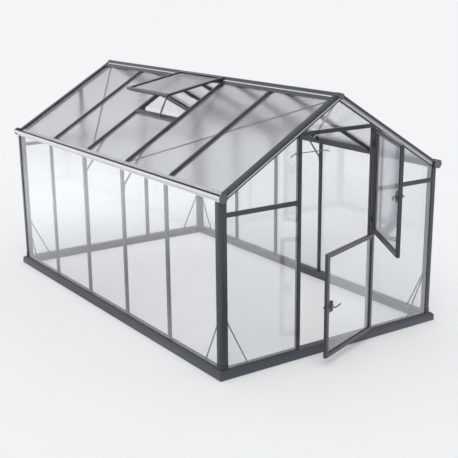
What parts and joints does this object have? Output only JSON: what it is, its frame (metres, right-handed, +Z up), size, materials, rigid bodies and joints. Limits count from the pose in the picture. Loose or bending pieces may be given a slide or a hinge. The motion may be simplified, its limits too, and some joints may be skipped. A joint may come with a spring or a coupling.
{
  "type": "glass greenhouse",
  "caption": "Walk-in glass greenhouse with a gabled roof, gutters, an open roof vent and a two-leaf stable door in the front gable.",
  "frame": {"origin": "on the ground under the door, at the middle of the underside of the front base rail", "axes": "+X to the right when facing the door gable, +Y from the door gable towards the back gable, +Z up"},
  "size_m": [2.25, 4.4407, 2.0598],
  "materials": {
    "frame": "satin anthracite powder coat",
    "frame_dark": "matt anthracite moulded caps and hinges",
    "trim": "pale anodised aluminium",
    "glass": "clear toughened glass",
    "roof_glass": "hazy obscured glass",
    "steel": "satin grey metal"
  },
  "bodies": {
    "house": {"base_front": "frame", "base_back": "frame", "base_left": "frame", "base_right": "frame", "corner_posts": "frame", "side_bars_left": "frame", "side_bars_right": "frame", "gable_bars_back": "frame", "door_jambs": "frame", "door_header": "frame", "mid_bars_front": "frame", "mid_bars_back": "frame", "eave_beam_left": "frame", "eave_beam_right": "frame", "gutter_left": "trim", "gutter_right": "trim", "gutter_lips": "frame_dark", "end_caps": "frame_dark", "ridge_beam": "frame", "rafters_left": "frame", "rafters_right": "frame", "gable_rafters_front": "frame", "gable_rafters_back": "frame", "trim_strips": "trim", "wall_glass_left": "glass", "wall_glass_right": "glass", "gable_glass_front": "glass", "gable_glass_back": "glass", "roof_glass_left": "roof_glass", "roof_glass_right": "roof_glass", "vent_frame": "frame", "vent_glass": "roof_glass", "vent_stay": "steel", "vent_rails": "frame", "wind_braces": "frame", "knee_braces": "frame", "corner_braces": "steel", "door_hinges": "frame_dark", "door_stay": "steel"},
    "lower_leaf": {"lower_leaf_frame": "frame", "lower_leaf_glass": "glass"},
    "lower_handle": {"lower_leaf_handle": "steel"},
    "upper_leaf": {"upper_leaf_frame": "frame", "upper_leaf_glass": "glass"},
    "upper_handle": {"upper_leaf_handle": "steel"}
  },
  "joints": [
    {"name": "lower_leaf_hinge", "type": "hinge", "parent": "house", "child": "lower_leaf", "pos_m": [0.372, -0.037, 0.5], "axis": [0, 0, 1], "range_deg": [-20, 140]},
    {"name": "upper_leaf_hinge", "type": "hinge", "parent": "house", "child": "upper_leaf", "pos_m": [0.372, -0.037, 1.34], "axis": [0, 0, 1], "range_deg": [-61, 99]},
    {"name": "lower_handle_turn", "type": "hinge", "parent": "lower_leaf", "child": "lower_handle", "pos_m": [-0.27169, -0.27128, 0.485], "axis": [-0.342, 0.9397, 0], "range_deg": [0, 45], "stiffness_Nm_per_rad": 0.8, "springref_deg": -17.19},
    {"name": "upper_handle_turn", "type": "hinge", "parent": "upper_leaf", "child": "upper_handle", "pos_m": [0.03991, -0.63611, 1.365], "axis": [-0.8746, 0.4848, 0], "range_deg": [0, 45], "stiffness_Nm_per_rad": 0.8, "springref_deg": -17.19}
  ]
}
